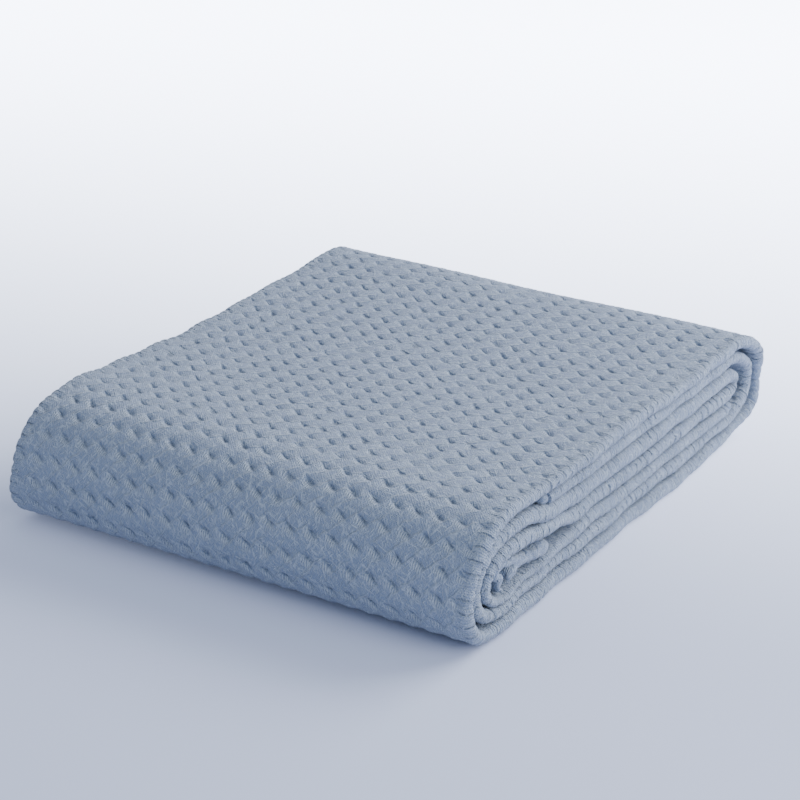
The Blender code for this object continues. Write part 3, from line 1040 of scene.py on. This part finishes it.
class THROW_OT_stage(bpy.types.Operator):
    """Makes the floor, the light and the camera"""

    bl_idname = "throw.stage"
    bl_label = "Stage"

    def execute(self, context):
        stage = context.scene.throw_stage
        side = np.linspace(-1, 1, 41)
        side = np.sign(side) * np.abs(side) ** 2 * 6.0
        x, y = np.meshgrid(side, side)
        points = np.stack([x, y, 0 * x], 2).reshape(-1, 3)
        at = np.arange(len(points)).reshape(41, 41)
        quads = np.stack([at[:-1, :-1], at[:-1, 1:], at[1:, 1:], at[1:, :-1]], 2).reshape(-1, 4)
        mesh = bpy.data.meshes.new("floor")
        mesh.from_pydata(points, [], quads)
        floor = bpy.data.objects.new("floor", mesh)
        context.scene.collection.objects.link(floor)
        floor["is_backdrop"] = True
        made, tree, shader = new_material("floor")
        place = tree.nodes.new("ShaderNodeTexCoord")
        turned = tree.nodes.new("ShaderNodeMapping")
        turned.inputs["Rotation"].default_value = (0, 0, math.radians(-18))
        tree.links.new(place.outputs["Object"], turned.inputs["Vector"])
        away = axes(tree, turned.outputs[0])["Y"]
        # Painted light: the floor's colour runs from darker at the front to lighter behind the throw, and the far part
        # also glows.
        far = ramp(tree, away, -0.75, 0.95, "SMOOTHSTEP")
        tree.links.new(mixed(tree, far, tuple(stage.floor_near), tuple(stage.floor_far)), shader.inputs["Base Color"])
        shader.inputs["Roughness"].default_value = 0.9
        shader.inputs["Specular IOR Level"].default_value = 0.1
        shader.inputs["Emission Strength"].default_value = 1.0
        lit = ramp(tree, away, -0.22, 1.25, "SMOOTHSTEP")
        glow = mixed(tree, lit, (0.0, 0.0, 0.0), tuple(c * stage.glow for c in stage.floor_far))
        tree.links.new(glow, shader.inputs["Emission Color"])
        mesh.materials.append(made)

        world = bpy.data.worlds.new("Soft Studio")
        world.use_nodes = True
        back = world.node_tree.nodes["Background"]
        back.inputs["Color"].default_value = (0.76, 0.85, 1.0, 1)
        back.inputs["Strength"].default_value = stage.sky
        context.scene.world = world
        area_light("Key", (0.85, 1.45, 1.05), (0, 0, 0), (1.5, 0.8), stage.key_power, (0.94, 0.96, 1.0))
        area_light("Side", (1.7, -0.35, 0.75), (0.1, 0, 0.03), (1.2, 1.0), stage.side_power, (0.95, 0.98, 1.0))

        camera = bpy.data.objects.new("Camera", bpy.data.cameras.new("Camera"))
        context.scene.collection.objects.link(camera)
        azimuth, elevation, distance = math.radians(32.0855), math.radians(22.9055), 1.3911
        right = np.array([math.cos(azimuth), math.sin(azimuth), 0])
        back_way = np.array(
            [math.sin(azimuth) * math.cos(elevation), -math.cos(azimuth) * math.cos(elevation), math.sin(elevation)]
        )
        target = right * -0.003 + np.array([0, 0, 0.048])
        camera.location = target + back_way * distance
        camera.rotation_euler = (math.pi / 2 - elevation, 0, azimuth)
        camera.data.lens = 100
        camera.data.clip_start, camera.data.clip_end = 0.05, 50
        context.scene.camera = camera
        return {"FINISHED"}


class THROW_PT_panel(bpy.types.Panel):
    """Lists the steps that build the throw"""

    bl_idname = "THROW_PT_panel"
    bl_label = "Folded Throw"
    bl_space_type = "VIEW_3D"
    bl_region_type = "UI"
    bl_category = "Throw"

    def draw(self, context):
        for group in (context.scene.throw_cloth, context.scene.throw_stage):
            for name in group.__annotations__:
                self.layout.prop(group, name)
        for step in STEPS:
            self.layout.operator(step.bl_idname)


STEPS = (
    THROW_OT_stage,
    THROW_OT_outer_wrap,
    THROW_OT_bottom_leaf,
    THROW_OT_inner_strip,
    THROW_OT_pleats,
    THROW_OT_hems,
    THROW_OT_stitches,
    THROW_OT_flat_sizes,
)
CLASSES = (ThrowCloth, ThrowStage, *STEPS, THROW_PT_panel)


def register():
    for made in CLASSES:
        bpy.utils.register_class(made)
    bpy.types.Scene.throw_cloth = bpy.props.PointerProperty(type=ThrowCloth)
    bpy.types.Scene.throw_stage = bpy.props.PointerProperty(type=ThrowStage)


def unregister():
    del bpy.types.Scene.throw_stage
    del bpy.types.Scene.throw_cloth
    for made in reversed(CLASSES):
        bpy.utils.unregister_class(made)


def main():
    register()
    for name in ("Cube", "Light", "Camera"):
        if name in bpy.data.objects:
            bpy.data.objects.remove(bpy.data.objects[name])
    for step in STEPS:
        family, name = step.bl_idname.split(".")
        getattr(getattr(bpy.ops, family), name)()


if __name__ == "__main__":
    main()
